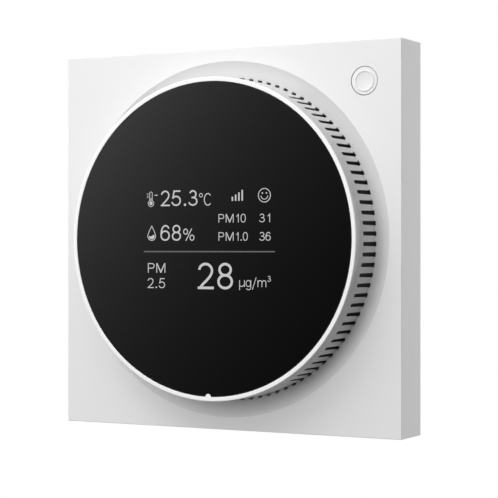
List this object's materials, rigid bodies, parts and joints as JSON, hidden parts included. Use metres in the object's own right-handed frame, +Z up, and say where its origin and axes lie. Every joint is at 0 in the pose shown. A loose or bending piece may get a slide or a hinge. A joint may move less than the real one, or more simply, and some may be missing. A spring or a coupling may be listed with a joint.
{
  "type": "wall air quality monitor",
  "caption": "Square wall panel with a dished front, a protruding round dial with a vented side wall and a flush black display window, a push button, and a mains base that goes into a wall box.",
  "frame": {"origin": "centre of the panel's back, on the wall plane, midway between the two wall-box screws", "axes": "+X right as seen from the front, +Y into the wall, +Z up; the display faces -Y"},
  "size_m": [0.086, 0.0425, 0.086],
  "materials": {
    "white_shell": "fine satin texture",
    "white_dial": "smooth satin",
    "button_white": "satin",
    "black_window": "polished, back-printed black",
    "tape": "matt foam tape",
    "mesh": "fine black woven mesh",
    "display_glass": "dark display glass",
    "tray_white": "moulded white",
    "flex_film": "amber film",
    "connector": "ivory nylon",
    "black_plastic": "fine texture",
    "foam": "open foam",
    "sensor_blue": "moulded blue",
    "sheet_steel": "brushed",
    "zinc_steel": "zinc plated",
    "screw_steel": "bright zinc",
    "brass": "turned",
    "green_board": "solder mask",
    "black_board": "solder mask",
    "blue_board": "solder mask",
    "tan_board": "bare laminate",
    "chip_black": "moulded epoxy",
    "ceramic_parts": "ceramic",
    "sensor_cap": "white",
    "fan_black": "moulded",
    "housing_black": "spark-eroded texture",
    "barrier": "moulded",
    "ferrite": "ferrite",
    "winding": "yellow tape",
    "can_blue": "printed sleeve",
    "fuse_body": "ceramic body",
    "varistor_blue": "epoxy coat",
    "terminal_green": "moulded"
  },
  "bodies": {
    "monitor": {"front_panel": "white_shell", "dial_housing": "white_dial", "dust_mesh": "mesh", "lens": "black_window", "lens_adhesive": "tape", "display_glass": "display_glass", "display_backlight": "tray_white", "display_flex": "flex_film", "flex_connector": "connector", "display_carrier": "black_plastic", "carrier_screws": "screw_steel", "sensor_pad": "foam", "particle_case": "sensor_blue", "particle_cover": "sheet_steel", "particle_board": "green_board", "fan_motor": "black_plastic", "laser_module": "brass", "light_trap": "black_plastic", "photodetector": "chip_black", "sensor_connector": "connector", "main_board": "green_board", "board_parts": "ceramic_parts", "board_screws": "screw_steel", "radio_module": "black_board", "radio_shield": "sheet_steel", "processor": "chip_black", "climate_board": "blue_board", "climate_sensor": "sensor_cap", "board_header": "black_plastic", "board_socket": "black_plastic", "switch_body": "black_plastic", "mounting_plate": "zinc_steel", "rear_housing": "housing_black", "barrier_cover": "barrier", "housing_screws": "screw_steel", "power_board": "tan_board", "power_screws": "screw_steel", "transformer_core": "ferrite", "transformer_coil": "winding", "capacitors": "can_blue", "fuse": "fuse_body", "rectifier": "chip_black", "varistor": "varistor_blue", "terminal_block": "terminal_green", "terminal_clamps": "zinc_steel", "terminal_screws": "screw_steel"},
    "button": {"button_cap": "button_white", "switch_plunger": "sensor_cap"},
    "fan": {"fan_rotor": "fan_black"}
  },
  "joints": [
    {"name": "button_press", "type": "slide", "parent": "monitor", "child": "button", "axis": [0, 1, 0], "range_m": [0, 0.0004], "stiffness_N_per_m": 1500, "springref_m": -0.0005},
    {"name": "fan_spin", "type": "hinge", "parent": "monitor", "child": "fan", "pos_m": [0.0085, -0.007, 0], "axis": [0, 1, 0], "continuous": true}
  ]
}
